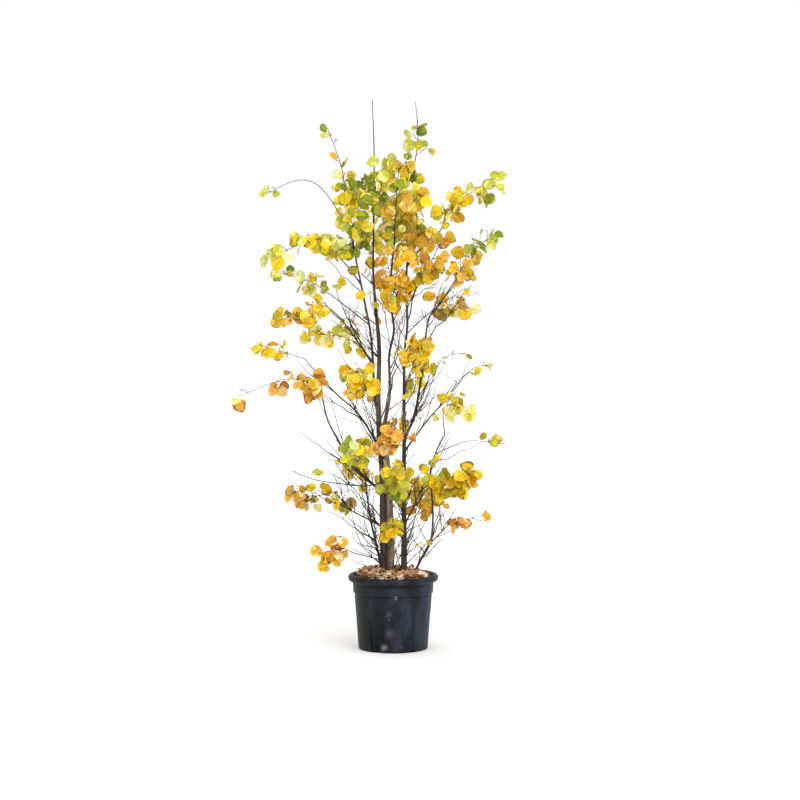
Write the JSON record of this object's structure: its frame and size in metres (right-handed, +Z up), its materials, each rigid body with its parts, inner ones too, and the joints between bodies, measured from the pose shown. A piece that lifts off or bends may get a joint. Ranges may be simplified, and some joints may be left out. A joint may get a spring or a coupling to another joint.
{
  "type": "potted katsura tree",
  "caption": "Young deciduous tree with several slender stems and sparse rounded autumn leaves, in a tapered round nursery pot.",
  "frame": {"origin": "centre of the pot's flat underside, on the ground", "axes": "+Z up along the pot's axis, +Y to the back, so the side seen in the picture faces -Y, +X to that view's right"},
  "size_m": [1.2471, 1.0007, 2.4201],
  "materials": {
    "pot": "semi-matte black, dusty",
    "soil": "matt, crumbly",
    "bark": "matt grey-brown bark",
    "foliage_yellow": "matt leaf",
    "foliage_gold": "matt leaf",
    "foliage_orange": "matt leaf",
    "foliage_olive": "matt leaf",
    "foliage_green": "matt leaf",
    "foliage_tan": "matt leaf"
  },
  "bodies": {
    "root": {"pot": "pot", "soil": "soil", "stem_main": "bark", "stem_front": "bark", "stem_right": "bark", "sprout_right": "bark", "sprout_left": "bark", "stem_fork_left": "bark", "bough_left_strong": "bark", "bough_left_mid": "bark", "bough_left_high": "bark", "bough_upper_left": "bark", "bough_left_low": "bark", "bough_left_bare": "bark", "bough_right_high": "bark", "bough_right_mid": "bark", "bough_top_right": "bark", "bough_right_low": "bark", "bough_right_lower": "bark", "spray_fork_left": "foliage_yellow", "tuft_crown_left": "foliage_olive", "tuft_crown_left_back": "foliage_yellow", "tuft_leader": "foliage_green", "tuft_crown_front": "foliage_olive", "tuft_crown_back": "foliage_green", "tuft_crown_right": "foliage_gold", "spray_leader_right": "foliage_green", "tuft_crown_low": "foliage_gold", "tuft_crown_low_back": "foliage_orange", "spray_upper_left": "foliage_yellow", "spray_left_high": "foliage_green", "spray_left_gold": "foliage_gold", "spray_left_bright": "foliage_yellow", "spray_left_mid": "foliage_olive", "spray_far_left": "foliage_orange", "tuft_left_centre": "foliage_gold", "tuft_left_back": "foliage_olive", "tuft_centre": "foliage_gold", "tuft_centre_back": "foliage_yellow", "spray_right_pale": "foliage_yellow", "spray_right_arch": "foliage_tan", "spray_right_bright": "foliage_yellow", "spray_far_right": "foliage_olive", "tuft_mid_front": "foliage_orange", "tuft_mid_back": "foliage_gold", "tuft_left_green": "foliage_green", "tuft_left_low_back": "foliage_yellow", "tuft_low_front": "foliage_olive", "tuft_low_back": "foliage_gold", "tuft_foot": "foliage_olive", "tuft_right_low": "foliage_gold", "spray_right_low": "foliage_gold", "spray_right_lowest": "foliage_orange", "spray_left_low": "foliage_tan", "tuft_bottom_left": "foliage_orange", "spray_arch_left": "foliage_green", "spray_top_right": "foliage_olive", "spray_right_high": "foliage_olive", "tuft_right_inner": "foliage_gold", "spray_right_mid": "foliage_tan"}
  },
  "joints": []
}
